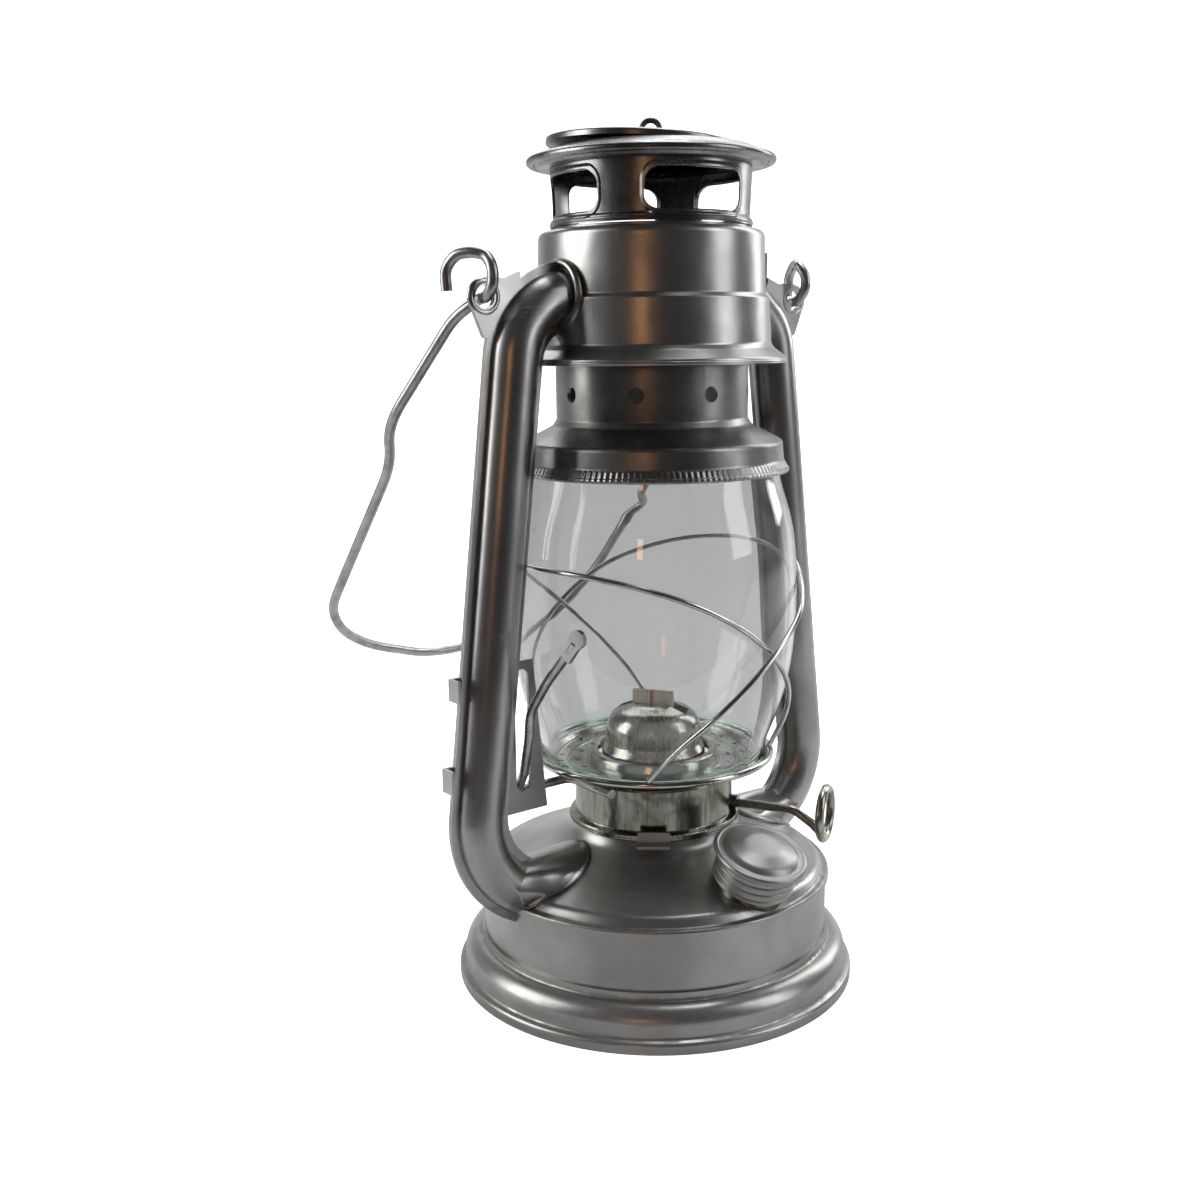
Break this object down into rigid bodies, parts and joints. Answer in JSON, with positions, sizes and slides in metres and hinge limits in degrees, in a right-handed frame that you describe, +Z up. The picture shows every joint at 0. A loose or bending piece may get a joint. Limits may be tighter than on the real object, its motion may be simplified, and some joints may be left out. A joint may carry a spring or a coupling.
{
  "type": "hurricane lantern",
  "caption": "Hurricane oil lantern with a round tank, side air tubes, a caged glass globe, a flat-wick burner, a vented hood and a wire bail.",
  "frame": {"origin": "middle of the foot on the surface it stands on", "axes": "+Z up along the lantern's axis, the side tubes along X with the globe lifter on the -X tube, the filler cap towards -Y, the bail hanging towards +Y"},
  "size_m": [0.1427, 0.1678, 0.2453],
  "materials": {
    "silver_paint": "satin silver paint on pressed tin",
    "galvanised_tin": "dull galvanised tin, slightly yellowed",
    "grey_tin": "dark grey tinplate, satin to semi-gloss",
    "zinc_wire": "zinc-plated wire, satin",
    "clear_glass": "clear, polished, faint green tint at the rims",
    "cotton_wick": "woven flat cotton, cream with a red marker thread",
    "gasket": "dark cork-rubber seal"
  },
  "bodies": {
    "frame": {"foot_ring": "silver_paint", "tank_wall": "silver_paint", "tank_bottom": "silver_paint", "tank_top": "silver_paint", "burner_socket": "galvanised_tin", "filler_neck": "galvanised_tin", "left_tube_front": "silver_paint", "left_tube_back": "silver_paint", "right_tube_front": "silver_paint", "right_tube_back": "silver_paint", "upper_tube_collars": "silver_paint", "lower_tube_collars": "silver_paint", "hood": "silver_paint", "lifter_bracket": "silver_paint", "burner_collar": "galvanised_tin", "burner_base": "galvanised_tin", "burner_clip": "galvanised_tin", "wick_tube": "galvanised_tin", "crank_bearings": "galvanised_tin", "burner_dome": "galvanised_tin"},
    "bail": {"bail": "zinc_wire"},
    "globe_carrier": {"globe_plate": "galvanised_tin", "globe_glass": "clear_glass", "guard_wire_left": "zinc_wire", "guard_wire_right": "zinc_wire"},
    "lift_lever": {"lift_lever": "zinc_wire"},
    "chimney": {"chimney_tube": "grey_tin", "globe_stop": "grey_tin", "spring_seat": "grey_tin", "hood_spring": "zinc_wire", "crown": "grey_tin", "cap_lid": "grey_tin", "cap_disc": "grey_tin", "lift_ring": "zinc_wire"},
    "wick_crank": {"wick_shaft": "zinc_wire", "wick_wheels": "zinc_wire"},
    "wick": {"wick": "cotton_wick"},
    "cap_seal": {"filler_gasket": "gasket"},
    "filler_cap": {"filler_cap": "silver_paint"}
  },
  "joints": [
    {"name": "bail_swing", "type": "hinge", "parent": "frame", "child": "bail", "pos_m": [0, 0, 0.202], "axis": [1, 0, 0], "range_deg": [0, 145]},
    {"name": "globe_lift", "type": "slide", "parent": "frame", "child": "globe_carrier", "axis": [0, 0, 1], "range_m": [0, 0.005]},
    {"name": "lever_turn", "type": "hinge", "parent": "frame", "child": "lift_lever", "pos_m": [0, 0.004, 0.0622], "axis": [-1, 0, 0], "range_deg": [0, 14.1]},
    {"name": "chimney_lift", "type": "slide", "parent": "globe_carrier", "child": "chimney", "axis": [0, 0, 1], "range_m": [0, 0.012], "stiffness_N_per_m": 300, "springref_m": -0.01, "deforming": ["hood_spring"]},
    {"name": "crank_turn", "type": "hinge", "parent": "frame", "child": "wick_crank", "pos_m": [0.00459, 0.00265, 0.0506], "axis": [0.5, -0.866, 0], "range_deg": [-143, 86]},
    {"name": "wick_raise", "type": "slide", "parent": "frame", "child": "wick", "axis": [0, 0, 1], "range_m": [-0.0065, 0.0105]},
    {"name": "seal_rise", "type": "slide", "parent": "frame", "child": "cap_seal", "axis": [0, -0.342, 0.9397], "range_m": [0, 0.0066]},
    {"name": "cap_turn", "type": "hinge", "parent": "cap_seal", "child": "filler_cap", "pos_m": [0, -0.046, 0.0486], "axis": [0, -0.342, 0.9397], "range_deg": [0, 720]}
  ],
  "couplings": [
    {"joint": "lever_turn", "follows": "globe_lift", "rad_per_m": 48.8},
    {"joint": "wick_raise", "follows": "crank_turn", "m_per_rad": -0.004},
    {"joint": "seal_rise", "follows": "cap_turn", "m_per_rad": 0.000517}
  ]
}
